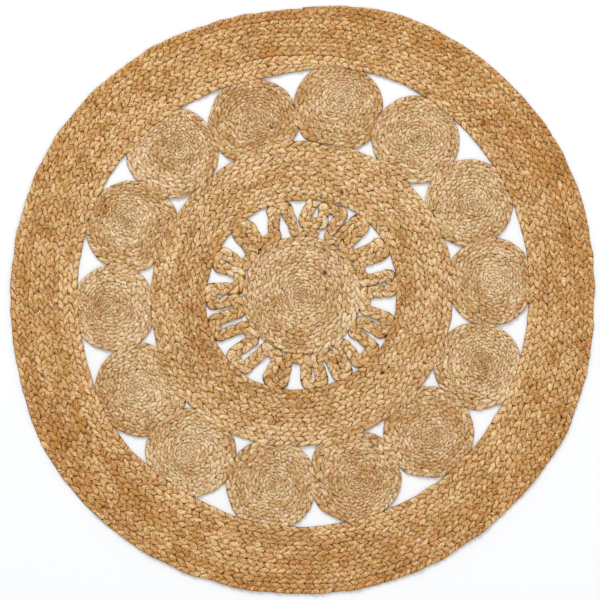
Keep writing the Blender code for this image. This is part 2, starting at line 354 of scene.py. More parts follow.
# %% Spreading the columns
Habit = namedtuple("Habit", "pitch loose wander")
Columns = namedtuple("Columns", "number at half thick pitch length")
COLUMN_PHASES = np.array([0.0, 0.12, 0.38, 0.5, 0.62, 0.88])  # of a chevron
SHORTEST_PITCH = 6.0 * MM
SLOW_PITCH = Wave(share=0.14, length=0.09)
QUICK_PITCH = Wave(share=0.16, length=0.02)


def spread_columns(route, habit):
    """Where each column lies on its route: its number in chevrons, and its distance."""
    along = length_along(route)
    length = along[-1]
    uneven = wave(along, length, SLOW_PITCH) + habit.loose * wave(along, length, QUICK_PITCH)
    pitch = np.maximum(habit.pitch * 2 * route.half * (1 + uneven), SHORTEST_PITCH)
    counted = np.concatenate([[0.0], np.cumsum(np.diff(along) / pitch[1:])])
    chevrons = int(counted[-1])
    number = np.append((np.arange(chevrons)[:, None] + COLUMN_PHASES).ravel(), chevrons)
    at = np.interp(number * counted[-1] / chevrons, counted, along)
    here = [np.interp(at, along, line)[:, None] for line in (route.half, route.thick, pitch)]
    return Columns(number, at, *here, length)


print("columns in a chevron:", len(COLUMN_PHASES))

# %% The grains in each section
ZIGZAG = 0.17  # how far a grain's tip reaches over the middle, as a share of the half width
PLUMP = 0.36  # under 1, a grain is fuller and its crease narrower
FAINTEST = 0.45  # the share of its depth that the faintest crease has
ROUNDING = 1e-6
Uneven = namedtuple("Uneven", "depth high wide lag askew")
UNEVEN_WIDTH = 0.015  # these are shares, for a habit whose loose is 1
UNEVEN_HEIGHT = 0.07
UNEVEN_SEAM = 0.07
FACE = 0.3  # points above this share of the thickness are on the face
THICK_WAVE = Wave(share=0.05, length=0.05)


def grain_phase(columns):
    """How far each point is along its own row of grains. The left row is half one behind."""
    return columns.number[:, None] + 0.5 * IS_LEFT


def draw_uneven(columns):
    """What chance gives each point: from its crease, its grain or its column."""
    phase = grain_phase(columns)
    chevrons = int(columns.number[-1])
    depth = rng.uniform(FAINTEST, 1.0, (2, chevrons + 3))[SIDE_INDEX, np.rint(phase).astype(int)]
    grain = np.floor(phase + ROUNDING).astype(int)
    high = rng.normal(0.0, 1.0, (2, chevrons + 2))[SIDE_INDEX, grain]
    wide = rng.normal(0.0, 1.0, (2, chevrons + 2))[SIDE_INDEX, grain]
    slow = rng.uniform(-1, 1, (3, chevrons + 2))
    slow = [np.interp(columns.number, np.arange(chevrons + 2), values) for values in slow]
    lag = np.stack(slow[:2], axis=1)[:, SIDE_INDEX]
    return Uneven(depth, high, wide, lag, askew=slow[2][:, None])


def sections(columns, habit, uneven):
    """How far across and how far up each point lies, in metres."""
    full = np.abs(np.sin(np.pi * grain_phase(columns))) ** PLUMP
    full = 1 - (1 - full) * uneven.depth
    across = LOBE.across_crease + (LOBE.across_crown - LOBE.across_crease) * full
    across = np.where(IS_LEFT, -1.0, 1.0) * across
    across = across * (1 + UNEVEN_WIDTH * habit.loose * uneven.wide * full)
    tip = ZIGZAG * np.cos(2 * np.pi * columns.number)[:, None]
    tip = tip + UNEVEN_SEAM * habit.loose * uneven.askew
    on_seam = LOBE.across_crown == 0.0
    across = np.where(on_seam, tip, across) * columns.half
    up = LOBE.up_crease + (LOBE.up_crown - LOBE.up_crease) * full
    up = up + UNEVEN_HEIGHT * habit.loose * uneven.high * full * ((up > FACE) & ~on_seam)
    up = up * columns.thick * (1 + wave(columns.at, columns.length, THICK_WAVE)[:, None])
    return across, up


# %% Bending the sections onto the route
SLANT = 0.48  # how many chevrons a strand advances from the edge to the middle
UNEVEN_LAG = 0.22  # of a chevron
WANDER_WAVE = Wave(share=1.0, length=0.11)
TIGHTEST = 0.85  # how far a braid may fill the inner side of a bend, as a share of its radius


def braid_points(route, habit):
    """The points of a braid, a row for each column, with its columns."""
    columns = spread_columns(route, habit)
    uneven = draw_uneven(columns)
    across, up = sections(columns, habit, uneven)

    # The columns slant with the strands, and straighten out at the braid's two ends.
    from_end = np.minimum(columns.at, columns.length - columns.at)[:, None]
    ends = np.clip(from_end / columns.pitch, 0.0, 1.0)
    lead = SLANT * LOBE.degrees / 90.0
    lead = lead + UNEVEN_LAG * habit.loose * uneven.lag * np.cos(np.radians(LOBE.degrees))
    place = columns.at[:, None] + lead * columns.pitch * ends
    across = across + habit.wander * wave(place, columns.length, WANDER_WAVE)

    # On the inner side of a bend a point stays short of the bend's middle.
    along = length_along(route)
    tangent_x, tangent_y = np.gradient(route.x, along), np.gradient(route.y, along)
    size = np.hypot(tangent_x, tangent_y)
    heading = np.unwrap(np.arctan2(tangent_y, tangent_x))
    bending = np.interp(place, along, np.gradient(heading, along))
    room = TIGHTEST / np.maximum(np.abs(bending), 1.0)
    spread = 1 + np.interp(place, along, route.corner)
    across = np.where(across * bending < 0, np.clip(across, -room, room), across * spread)

    x = np.interp(place, along, route.x) - across * np.interp(place, along, -tangent_y / size)
    y = np.interp(place, along, route.y) - across * np.interp(place, along, tangent_x / size)
    return np.stack([x + drift(x, y, 0), y + drift(x, y, 1), up], axis=2), columns


# %% [markdown]
# ## Hanks of different colour
#
# No two hanks of jute are alike. The tone of a braid drifts from turn to turn as the maker
# joins in new strands, some stretches are ginger, and here and there bark is left on the
# fibre. These are facts of this rug and not a pattern, so they are short tables: a tone for
# each turn of a braid, and the places of the flecks. Each vertex gets the result in two
# attributes, "tone" and "bark", which the finish reads.

# %% The flecks
# Right of and above the rug's middle, in mm. Bark is nearly black, and a tone under 0 is dark.
Fleck = namedtuple("Fleck", "right up reach bark tone", defaults=(0.0, 0.0))
FLECKS = (
    Fleck(-119, 536, 5, 0.7), Fleck(-109, 541, 5, 0.8),
    Fleck(-98, 547, 5, 0.7), Fleck(-145, 524, 7, 0.7),
    Fleck(-182, 553, 7, 0.6), Fleck(-294, 495, 7, 0.7),
    Fleck(-257, 506, 7, 0.6), Fleck(-376, 416, 8, 0.6),
    Fleck(-529, -153, 10, 0.7), Fleck(-510, -219, 8, 0.7),
    Fleck(-492, -272, 7, 0.6), Fleck(-10, -557, 7, 0.7),
    Fleck(84, -533, 7, 0.7), Fleck(65, -592, 7, 0.7),
    Fleck(398, -435, 8, 0.8), Fleck(373, -450, 7, 0.7),
    Fleck(535, -256, 8, 0.7), Fleck(-401, 205, 5, 0.8, -0.2),
    Fleck(-400, 191, 5, 0.8, -0.3), Fleck(-403, 178, 5, 0.6, -0.4),
    Fleck(-435, 163, 6, 0.8), Fleck(-441, 128, 6, 0.7),
    Fleck(47, 55, 7, 0.9), Fleck(50, 22, 7, 0.8),
    Fleck(-116, 44, 7, 0.7), Fleck(81, 220, 8, 0.8),
    Fleck(39, 208, 7, 0.7), Fleck(245, 155, 8, 0.7),
    Fleck(222, 79, 7, 0.6), Fleck(-225, 135, 7, 0.7),
    Fleck(-223, -20, 10, 0.6, -0.1), Fleck(6, -251, 7, 0.7),
    Fleck(164, -148, 8, 0.8), Fleck(-66, 514, 16, tone=-0.35),
    Fleck(377, -141, 8, tone=-0.35), Fleck(359, -162, 8, tone=-0.3),
    Fleck(-470, -260, 110, tone=-0.08), Fleck(-190, -70, 45, tone=-0.10),
    Fleck(-160, 200, 60, tone=0.06), Fleck(200, 180, 60, tone=0.06),
)
print("flecks:", len(FLECKS))

# %% From the tables to a tone for each point
SLOW_TONE = Wave(share=0.07, length=0.45)
QUICK_TONE = Wave(share=0.06, length=0.12)


def flecked(x, y, field):
    """How much bark, or how much extra tone, the flecks give each point."""
    total = np.zeros_like(x)
    for fleck in FLECKS:
        away = np.hypot(x - fleck.right * MM, y - fleck.up * MM) / (fleck.reach * MM)
        total += getattr(fleck, field) * np.exp(-(away**2))
    return total


def braid_tone(points, route, columns, tones):
    """The tone of each point: its turn's, slow waves along the braid, and its flecks'."""
    along = length_along(route)
    share = np.interp(columns.at, along, route.turn) / route.turn[-1]
    turn = np.interp(share, np.linspace(0, 1, len(tones)), tones)
    waves = [wave(columns.at, along[-1], kind) for kind in (SLOW_TONE, QUICK_TONE)]
    return (turn + sum(waves))[:, None] + flecked(points[..., 0], points[..., 1], "tone")


# %% [markdown]
# ## From points to a mesh
#
# `create_grid` makes the flat grid with one vertex for each point, and the points are then
# put in place all at once. The grid's first and last line lie along the same seam, and each
# end has one more column that is drawn to a point, so merging doubles closes the tube.
#
# Two UV maps go on the mesh. "strand" counts chevrons in one direction and goes once round
# the section in the other, and every material below reads it. "OFBake" is for an export
# that bakes the finish into a picture: it cuts the long tube into strips of equal length
# and stacks them in the unit square, so that nothing overlaps.

# %% The mesh of a braid
CAP_COUNT = 0.05  # chevrons between an end and the point that closes it
MERGED = 1e-6  # points closer than this are one
BAKE_MARGIN = 0.004
STRIP_MARGIN = 0.03  # above and below the tube, as a share of a strip
STRIP_SHAPE = 0.42  # the smaller this is, the more strips there are
made = {"chevrons": 0, "triangles": 0}


def strip_map(column, around, columns, turns):
    """Where each face corner goes in the unit square: strips of the tube, one on another."""
    strips = max(1, round((columns / (STRIP_SHAPE * turns)) ** 0.5))
    each = -(-columns // strips)
    strip = (column.min(axis=1) // each)[:, None]
    u = BAKE_MARGIN + (1 - 2 * BAKE_MARGIN) * (column - strip * each) / each
    v = (strip + STRIP_MARGIN + (1 - 2 * STRIP_MARGIN) * around / turns) / strips
    return np.stack([u, v], axis=2)


def grid_mesh(name, points):
    """A mesh with a vertex for each point, and each vertex's column and place round it."""
    columns, turns = points.shape[0] - 1, points.shape[1] - 1
    bm = bmesh.new()
    bmesh.ops.create_grid(bm, x_segments=columns, y_segments=turns, size=1.0)
    mesh = bpy.data.meshes.new(name)
    bm.to_mesh(mesh)
    bm.free()
    flat = np.empty(len(mesh.vertices) * 3, np.float32)
    mesh.vertices.foreach_get("co", flat)
    share = (flat.reshape(-1, 3)[:, :2] + 1) / 2
    column = np.rint(share[:, 0] * columns).astype(int)
    around = np.rint(share[:, 1] * turns).astype(int)
    mesh.vertices.foreach_set("co", points[column, around].astype(np.float32).ravel())
    return mesh, column, around


def add_maps(mesh, column, around, numbers, turns):
    """Adds the map that the finish reads, and the one for baking."""
    corner = np.empty(len(mesh.loops), int)
    mesh.loops.foreach_get("vertex_index", corner)
    column, around = column[corner], around[corner]
    strand = np.stack([numbers[column], around / turns], axis=1)
    baked = strip_map(column.reshape(-1, 4), around.reshape(-1, 4), len(numbers) - 1, turns)
    for name, places in (("strand", strand), ("OFBake", baked)):
        layer = mesh.uv_layers.new(name=name)
        layer.data.foreach_set("uv", places.astype(np.float32).ravel())


def close_mesh(mesh):
    """Merges the seam and the two ends, and returns how many edges are left open."""
    bm = bmesh.new()
    bm.from_mesh(mesh)
    bmesh.ops.remove_doubles(bm, verts=bm.verts, dist=MERGED)
    bmesh.ops.recalc_face_normals(bm, faces=bm.faces)
    open_edges = sum(not edge.is_manifold for edge in bm.edges)
    bm.to_mesh(mesh)
    bm.free()
    mesh.shade_smooth()
    return open_edges


def braid_mesh(name, points, numbers, tone):
    """A closed mesh of a stretch of braid, from its columns of points."""
    caps = points[[0, -1]].mean(axis=1, keepdims=True).repeat(points.shape[1], axis=1)
    points = np.concatenate([caps[:1], points, caps[1:]])
    numbers = np.concatenate([[numbers[0] - CAP_COUNT], numbers, [numbers[-1] + CAP_COUNT]])
    tone = np.concatenate([tone[:1], tone, tone[-1:]])
    bark = flecked(points[..., 0], points[..., 1], "bark")
    mesh, column, around = grid_mesh(name, points)
    add_maps(mesh, column, around, numbers, points.shape[1] - 1)
    for attribute, values in (("tone", tone), ("bark", bark)):
        data = mesh.attributes.new(attribute, "FLOAT", "POINT").data
        data.foreach_set("value", values[column, around].astype(np.float32))
    open_edges = close_mesh(mesh)
    mesh.calc_loop_triangles()
    made["triangles"] += len(mesh.loop_triangles)
    print(f"{name}: {len(mesh.loop_triangles)} triangles, {open_edges} open edges")
    return mesh


# %% Laying a braid
def lay_braid(names, node, material, route, habit, tones):
    """Makes a braid in one or more pieces, end to end, hangs them on the root body and hides
    their solid.
    """
    points, columns = braid_points(route, habit)
    tone = braid_tone(points, route, columns, tones)
    numbers = columns.number + made["chevrons"]
    made["chevrons"] += int(numbers[-1] - numbers[0]) + 2
    cuts = [round(share * (len(numbers) - 1)) for share in np.linspace(0, 1, len(names) + 1)]
    for name, first, last in zip(names, cuts, cuts[1:]):
        kept = slice(first, last + 1)
        mesh = braid_mesh(name, points[kept], numbers[kept], tone[kept])
        mesh.materials.append(material)
        piece = bpy.data.objects.new(name, mesh)
        bpy.context.scene.collection.objects.link(piece)
        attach(piece, "root")
        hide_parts(node)

# %% [markdown]
# ## The finish of jute
#
# Jute is a bast fibre: long straw-gold threads with a dull shine, laid side by side in each
# strand. Close up, the threads differ from each other more than the strands do. A picture of
# jute wouldn't follow the strands, so the finish is worked out by nodes from the "strand"
# map: its whole numbers are the grains, and its fractions run across a grain. Only the
# mottling of the rug comes from Object coordinates.

# %% Helpers for building node trees
def add_node(tree, kind, inputs=None, **settings):
    """Adds a shader node. An input is set to a value, or linked where it is given a socket."""
    node = tree.nodes.new("ShaderNode" + kind)
    for name, value in settings.items():
        setattr(node, name, value)
    for name, value in (inputs or {}).items():
        if isinstance(value, bpy.types.NodeSocket):
            tree.links.new(value, node.inputs[name])
        else:
            node.inputs[name].default_value = value
    return node


def calc(operation, *values):
    """One step of arithmetic, in the tree of the sockets among its values."""
    tree = next(value.id_data for value in values if isinstance(value, bpy.types.NodeSocket))
    return add_node(tree, "Math", dict(enumerate(values)), operation=operation).outputs[0]


KINDS = ("ADD", "SUBTRACT", "MULTIPLY", "MINIMUM", "MAXIMUM")
plus, less, times, lower, higher = (partial(calc, kind) for kind in KINDS)


def rise(value, low, high):
    """0 below low and 1 above high, with a soft step between them."""
    sockets = {"Value": value, "From Min": low, "From Max": high}
    step = add_node(value.id_data, "MapRange", sockets, interpolation_type="SMOOTHSTEP")
    return step.outputs[0]


def fall(value, low, high):
    """1 below low and 0 above high."""
    return less(1.0, rise(value, low, high))


def vector(x, y, z=0.0):
    return add_node(x.id_data, "CombineXYZ", {0: x, 1: y, 2: z}).outputs[0]


def noise(place, scale, detail, roughness=0.5):
    sockets = {"Vector": place, "Scale": scale, "Detail": detail, "Roughness": roughness}
    return add_node(place.id_data, "TexNoise", sockets).outputs[0]


def blend_colours(factor, first, second, kind="MIX"):
    sockets = {"Factor": factor, 6: first, 7: second}
    node = add_node(first.id_data, "Mix", sockets, data_type="RGBA", blend_type=kind)
    return node.outputs[2]


def new_group(name, inputs, outputs):
    """An empty node group with float sockets, and its two end nodes."""
    group = bpy.data.node_groups.new(name, "ShaderNodeTree")
    for direction, sockets in (("INPUT", inputs), ("OUTPUT", outputs)):
        for socket in sockets:
            group.interface.new_socket(socket, in_out=direction, socket_type="NodeSocketFloat")
    given = group.nodes.new("NodeGroupInput")
    result = group.nodes.new("NodeGroupOutput")
    return group, given.outputs, result.inputs


print("node groups so far:", len(bpy.data.node_groups))

# %% [markdown]
# ## The grains of the plait, as a node group
#
# All four kinds of braid share this group. It reads the "strand" map alone. From the count of
# chevrons it finds the grain that a point is on, and from that a random tone for each grain
# and a slow one for each strand. The distances to the next grain, to the seam on top and to
# the rim give the creases, where the finish paints shade. They waver, come and go, and open
# into a dark little hole of painted shade where three grains meet. Last come the threads,
# drawn out along the strand, and the slits between them, which are painted shade too. Places
# round the braid are counted in points of the section: 0 is the seam on top.

# %% The group
POINTS_ROUND = float(len(ALL_ROUND) - 1)
RIM_POINT = 4.0  # the point of the section that lies on the braid's edge
STRANDS = 3.0
WAVER = 0.24  # how far a crease wavers, in chevrons
SEAM_WIDTH = 0.35  # of the dark line on top, in points of the section
RIM_WIDTH = 0.6
LINE_DEPTH = 0.95
HOLE_DEPTH = 1.2
FAINT_LINE = 0.2  # what is left of a crease where it is faintest
FULL_LINE = 1.1  # how much more it has where it is darkest
SLIT_LENGTH = 1.6  # against a thread's


def make_grain_group():
    """Which grain a point is on, how near the creases are, and its fibres."""
    outputs = ("Grain", "Strand", "Crease", "Edge", "Threads", "Slits")
    group, given, result = new_group("jute_grains", ("Crease", "Fibre"), outputs)
    uv = add_node(group, "UVMap", uv_map="strand").outputs[0]
    split = add_node(group, "SeparateXYZ", {0: uv}).outputs
    count, around = split[0], split[1]
    left = calc("GREATER_THAN", around, 0.5)
    place = times(around, POINTS_ROUND)

    # The creases waver a little, and the left grains are half a chevron behind.
    waver = noise(vector(times(count, 3.0), place), 1.0, 2.0)
    waver = times(less(waver, 0.5), WAVER)
    shifted = plus(plus(count, times(left, 0.5)), waver)
    number = calc("FLOOR", shifted)
    phase = calc("FRACT", shifted)
    grain_at = vector(number, times(left, 9.5))
    grain = add_node(group, "TexWhiteNoise", {"Vector": grain_at}).outputs["Value"]
    # Every third chevron is the same strand again, so strands drift slowly in tone.
    strand_at = vector(calc("MODULO", number, STRANDS), times(number, 0.045))
    strand = noise(strand_at, 1.7, 1.0)

    # How far it is to the next grain, and to where the halves and the rows of braid meet.
    to_next = lower(phase, less(1.0, phase))
    to_top = lower(place, less(POINTS_ROUND, place))
    to_floor = calc("ABSOLUTE", less(place, POINTS_ROUND / 2))
    to_rim = calc("ABSOLUTE", less(to_top, RIM_POINT))

    # Painted shade there: dark lines, and a darker hole where a crease meets the seam or the
    # rim.
    beside = fall(to_next, 0.0, given["Crease"])
    seam = fall(lower(to_top, to_floor), 0.0, SEAM_WIDTH)
    across = higher(seam, fall(to_rim, 0.0, RIM_WIDTH))
    lines = times(higher(beside, across), LINE_DEPTH)
    hole = higher(fall(to_rim, 0.2, 1.3), fall(to_top, 0.1, 0.75))
    hole = times(fall(to_next, 0.0, 0.22), hole)
    lines = plus(lines, times(hole, HOLE_DEPTH))
    patchy = noise(vector(times(count, 1.9), place), 0.9, 1.0)
    patchy = times(rise(patchy, 0.36, 0.64), FULL_LINE)
    crease = lower(times(lines, plus(FAINT_LINE, patchy)), 1.0)
    # How low a point lies between grains, where the finish paints warm shade: 1 at their edges
    # and 0 on their tops.
    top = times(rise(to_next, 0.0, 0.26), rise(to_top, 0.0, 0.8))
    edge = less(1.0, times(top, rise(to_rim, 0.0, 1.2)))

    # Fine noise that is drawn out along the strand, and starts anew on each grain.
    along = times(shifted, given["Fibre"])
    threads_at = vector(along, times(place, 0.45), times(number, 3.7))
    threads = noise(threads_at, 1.0, 3.0, 0.75)
    # The slits between the threads are darkened as painted shade.
    along = times(shifted, times(given["Fibre"], SLIT_LENGTH))
    slits_at = vector(along, times(place, 0.7), times(number, 1.3))
    slits = rise(noise(slits_at, 1.0, 1.0), 0.60, 0.70)

    for socket, output in zip((grain, strand, crease, edge, threads, slits), result):
        group.links.new(socket, output)
    return group


GRAINS = make_grain_group()
print("group:", GRAINS.name, [item.name for item in GRAINS.interface.items_tree])

# %% [markdown]
# ## From a tone to a colour
#
# The sum of the noises is one number, the tone, and a row of jute colours turns it into a
# colour, from brown to pale straw. The rest is laid over that: ginger hanks, a rose or an
# olive cast in places, the paler straw of the finer braid, painted warm shade between the
# grains, painted shade in the dark creases and slits, and the flecks of bark. The four kinds
# of braid could each have a tree of their own, but they differ only in a few values, so one
# function makes them all.

# %% The colours, and the four kinds of braid
Tone = namedtuple("Tone", "place colour")
JUTE_TONES = (
    Tone(0.00, (0.230, 0.088, 0.014, 1.0)),
    Tone(0.22, (0.390, 0.186, 0.052, 1.0)),
    Tone(0.45, (0.520, 0.285, 0.108, 1.0)),
    Tone(0.70, (0.650, 0.400, 0.185, 1.0)),
    Tone(1.00, (0.820, 0.585, 0.335, 1.0)),
)
PAINTED_WARM_SHADE = (1.0, 0.86, 0.55, 1.0)  # painted shade between strands, warm because jute lets light through
GINGER = (0.520, 0.235, 0.060, 1.0)
OLIVE_TINT = (0.985, 1.010, 0.93, 1.0)
ROSE_TINT = (1.020, 0.980, 1.02, 1.0)
# The colour of the painted shade in the creases, holes and slits.
PAINTED_CREASE_SHADE = (0.055, 0.018, 0.004, 1.0)
BARK = (0.060, 0.020, 0.006, 1.0)
BLEACH = (1.0, 1.13, 1.38, 1.0)  # the greyer straw of the finer braid, against the rim's
# Two of these values are painted shade: how much warm shade is painted between the grains, and
# crease, how dark the painted shade in the creases is.
Jute = namedtuple("Jute", "name tone bleach ginger stain crease crease_width threads_per_grain")
SHARES = {"tone": 0.12, "bleach": 0.0, "ginger": 0.70, "stain": 1.0, "crease": 1.0}
OUTER_JUTE = Jute("outer_jute", **SHARES, crease_width=0.10, threads_per_grain=5.0)
INNER_JUTE = OUTER_JUTE._replace(name="inner_jute", tone=0.14, bleach=0.35)
COIL_JUTE = OUTER_JUTE._replace(name="coil_jute", tone=0.20, bleach=0.62, ginger=0.6)
COIL_JUTE = COIL_JUTE._replace(stain=0.6, crease=0.9, threads_per_grain=4.2)
LOOP_JUTE = INNER_JUTE._replace(name="loop_jute", tone=0.20, bleach=0.5, stain=1.3)
print("kinds of braid:", [jute.name for jute in (OUTER_JUTE, INNER_JUTE, COIL_JUTE, LOOP_JUTE)])

# %% The finish of one kind of braid
MIDDLE_TONE = 0.50
HANKS = 13.0  # how many to a metre, as are the next three
GINGER_HANKS = 50.0
TINTS = 45.0
MOTTLES = 240.0
RELIEF = 1.2 * MM
SLIT_DEPTH = 0.75
BARK_DEPTH = 0.9
ELSEWHERE = (3.0, 5.0, 7.0)  # another part of the noise, so two patterns don't coincide
ROUGHNESS = 0.8
SHINE = 0.15


def tone_ramp(tree, tone):
    ramp = add_node(tree, "ValToRGB", {"Fac": tone})
    points = ramp.color_ramp.elements
    while len(points) < len(JUTE_TONES):
        points.new(0.5)
    for point, step in zip(points, JUTE_TONES):
        point.position = step.place
        point.color = step.colour
    return ramp.outputs["Color"]


def add_up(total, *noises):
    """Adds noises to a start: each one's distance from its middle, times its share."""
    for value, share in noises:
        total = plus(total, times(less(value, 0.5), share))
    return total


def jute_material(jute):
    material = bpy.data.materials.new(jute.name)
    material.use_nodes = True
    tree = material.node_tree
    shader = tree.nodes["Principled BSDF"]
    values = {"Crease": jute.crease_width, "Fibre": jute.threads_per_grain}
    grains = add_node(tree, "Group", values, node_tree=GRAINS).outputs
    position = add_node(tree, "TexCoord").outputs["Object"]
    elsewhere = add_node(tree, "VectorMath", {0: position, 1: ELSEWHERE}).outputs[0]
    hanks = noise(position, HANKS, 2.0)
    mottle = noise(position, MOTTLES, 2.0, 0.6)
    given_tone = add_node(tree, "Attribute", attribute_name="tone").outputs["Fac"]
    given_bark = add_node(tree, "Attribute", attribute_name="bark").outputs["Fac"]

    tone = plus(given_tone, MIDDLE_TONE + jute.tone)
    tone = add_up(tone, (grains["Grain"], 0.32), (grains["Strand"], 0.35), (hanks, 0.60))
    colour = tone_ramp(tree, add_up(tone, (mottle, 1.0), (grains["Threads"], 2.6)))

    # Ginger where its noise is high, and the more so where the braid is dark.
    ginger = noise(position, GINGER_HANKS, 3.0, 0.7)
    ginger = less(ginger, times(given_tone, 0.8))
    ginger = times(rise(ginger, 0.47, 0.70), jute.ginger)
    colour = blend_colours(ginger, colour, GINGER)
    tint = noise(elsewhere, TINTS, 2.0)
    colour = blend_colours(rise(tint, 0.46, 0.66), colour, ROSE_TINT, "MULTIPLY")
    colour = blend_colours(rise(tint, 0.54, 0.34), colour, OLIVE_TINT, "MULTIPLY")
    colour = blend_colours(jute.bleach, colour, BLEACH, "MULTIPLY")
    # Painted shade: a warm tint multiplied onto the low places between the grains.
    colour = blend_colours(times(grains["Edge"], jute.stain), colour, PAINTED_WARM_SHADE, "MULTIPLY")

    # Painted shade: dark brown in the creases, the holes where grains meet and the slits between
    # threads.
    shade = times(grains["Crease"], jute.crease)
    shade = higher(shade, times(grains["Slits"], SLIT_DEPTH))
    colour = blend_colours(shade, colour, PAINTED_CREASE_SHADE)
    bark = times(given_bark, plus(mottle, grains["Threads"]))
    bark = times(rise(bark, 0.36, 0.80), BARK_DEPTH)
    colour = blend_colours(bark, colour, BARK)
    tree.links.new(colour, shader.inputs["Base Color"])

    height = add_up(0.5, (grains["Threads"], 0.8), (mottle, 0.3), (grains["Slits"], -0.3))
    bump = add_node(tree, "Bump", {"Height": height, "Distance": RELIEF, "Strength": 0.9})
    tree.links.new(bump.outputs[0], shader.inputs["Normal"])
    shader.inputs["Roughness"].default_value = ROUGHNESS
    shader.inputs["Specular IOR Level"].default_value = SHINE
    return material


outer_finish = jute_material(OUTER_JUTE)
inner_finish = jute_material(INNER_JUTE)
coil_finish = jute_material(COIL_JUTE)
loop_finish = jute_material(LOOP_JUTE)
print("nodes in a finish:", len(outer_finish.node_tree.nodes))

# %% [markdown]
# ## The outer band
#
# Seven turns of the widest braid. Its two ends lie at the top of the picture, where the rim
# and the opening both step by one row. Seven rings would be simpler, but a coiled rug has
# none, so it is one spiral. It is cut into three meshes, because one would be very heavy.

# %% Lay the outer band
outer_route = coil_route(
    edges_of_band("outer_band", RUG_MIDDLE), RUG_MIDDLE, [1] * 7, start=72, taper=26, drift=0
)
BAND_HABIT = Habit(pitch=0.86, loose=1.25, wander=0.5 * MM)
OUTER_TONES = (0.08, 0.07, 0.0, -0.02, -0.04, -0.07, -0.10)  # from the inner turn outwards
OUTER_NAMES = ["outer_braid_1", "outer_braid_2", "outer_braid_3"]
lay_braid(
    OUTER_NAMES, "outer_band", outer_finish, outer_route, BAND_HABIT, OUTER_TONES
)

# %% [markdown]
# ## The inner band
#
# Six turns of the same braid hold the open loops. The maker laid them round the middle coil,
# which isn't quite in the rug's middle, so this spiral has that middle too. Its last two
# turns are from a paler hank.

# %% Lay the inner band
inner_route = coil_route(
    edges_of_band("inner_band", HEART), HEART, [1] * 6, start=60, taper=30, drift=0
)
INNER_TONES = (0.03, -0.04, -0.03, -0.01, 0.09, 0.08)
lay_braid(
    ["inner_braid"], "inner_band", inner_finish, inner_route, BAND_HABIT, INNER_TONES
)

# %% [markdown]
# ## The medallions
#
# Fourteen small coils of a finer braid fill the ring between the bands. Copies of one coil
# would be quick, but a coil made by hand begins a little off its middle, in a direction of
# its own and from another hank. So each is laid inside its own solid, with a row of a short
# table: where it was begun, right of and above the middle of its solid in mm, the direction
# in degrees in which it was begun, and the tones of its middle and its rim.

# %% Lay the medallions
MEDALLION_ROWS = (4.0, 5.0, 6.0, 6.5, 7.0, 7.5, 8.0)
COIL_HABIT = Habit(pitch=0.92, loose=1.3, wander=0.3 * MM)
Coil = namedtuple("Coil", "right up start core rim")
COILS = (
    Coil(7.0, 18.0, 300, 0.12, -0.05),
    Coil(6.0, 5.0, 10, 0.01, 0.00),
    Coil(6.0, 0.0, 150, 0.05, 0.05),
    Coil(8.0, 2.0, 225, 0.12, -0.02),
    Coil(9.0, 10.0, 60, 0.00, 0.06),
    Coil(4.0, -9.0, 120, 0.11, -0.06),
    Coil(6.0, -6.0, 330, -0.03, -0.01),
    Coil(4.0, -4.0, 45, 0.00, 0.01),
    Coil(-6.0, -2.0, 190, 0.13, 0.05),
    Coil(-8.0, 2.0, 260, 0.13, -0.01),
    Coil(-14.0, 5.0, 310, 0.10, 0.04),
    Coil(-9.0, 10.0, 75, 0.05, -0.04),
    Coil(11.0, 11.0, 245, 0.14, -0.04),
    Coil(4.0, 0.0, 160, 0.11, -0.07),
)
for number, coil in enumerate(COILS, start=1):
    node = f"medallion_{number:02d}"
    middle = middle_of(node) + np.array([coil.right, coil.up]) * MM
    edges = edges_of_coil(node, middle)
    route = coil_route(edges, middle, MEDALLION_ROWS, start=coil.start, taper=60, drift=1)
    name = f"medallion_coil_{number:02d}"
    lay_braid([name], node, coil_finish, route, COIL_HABIT, (coil.core, coil.rim))

# %% [markdown]
# ## The centre disc
#
# The largest coil closes the middle of the rug, in nine turns of the same fine braid. The
# first turns are pulled tight, so the rows widen towards its rim. A medallion made larger
# would have too coarse a braid, so this is a route of its own.

# %% Lay the centre disc
CENTRE_ROWS = (3.5, 4.5, 5.5, 6.5, 7.0, 7.5, 8.0, 8.0, 8.5)
centre_route = coil_route(
    edges_of_coil("centre_disc", HEART), HEART, CENTRE_ROWS, start=200, taper=60, drift=1
)
CENTRE_TONES = (0.06, 0.0, 0.02)
lay_braid(
    ["centre_coil"], "centre_disc", coil_finish, centre_route, COIL_HABIT, CENTRE_TONES
)

# %% [markdown]
# ## The loops
#
# Between the inner band and the middle coil, one braid runs out and back in fifteen hairpins.
# It isn't coiled, so its route is a list of its own: the direction in which each run starts
# and ends, as the solid has it. The braid is soft. It spreads where its neighbours leave it
# room, and is squeezed where two runs come together or a bend is narrow, so its width is
# worked out from the runs on both sides.

# %% The sizes of the loops
LOOP_HALF = 12.0 * MM  # half the width where nothing squeezes the braid
LOOP_SLIT = 0.8 * MM  # the least gap between two runs
LOOP_HOLLOW = 2.3 * MM  # the least radius of a bend's inner edge
LOOP_CORNER = 12.5 * MM  # bend radius of the braid's middle in a wide bend's two corners
LOOP_ROUND = 14.0 * MM  # a bend narrower than twice this is one round hairpin
CORNER_DEGREES = range(0, 91, 15)
LOOP_GAP = 0.6 * MM  # between the loops and what they meet
DISC_EDGE = 120.0 * MM
Run = namedtuple("Run", "low high")
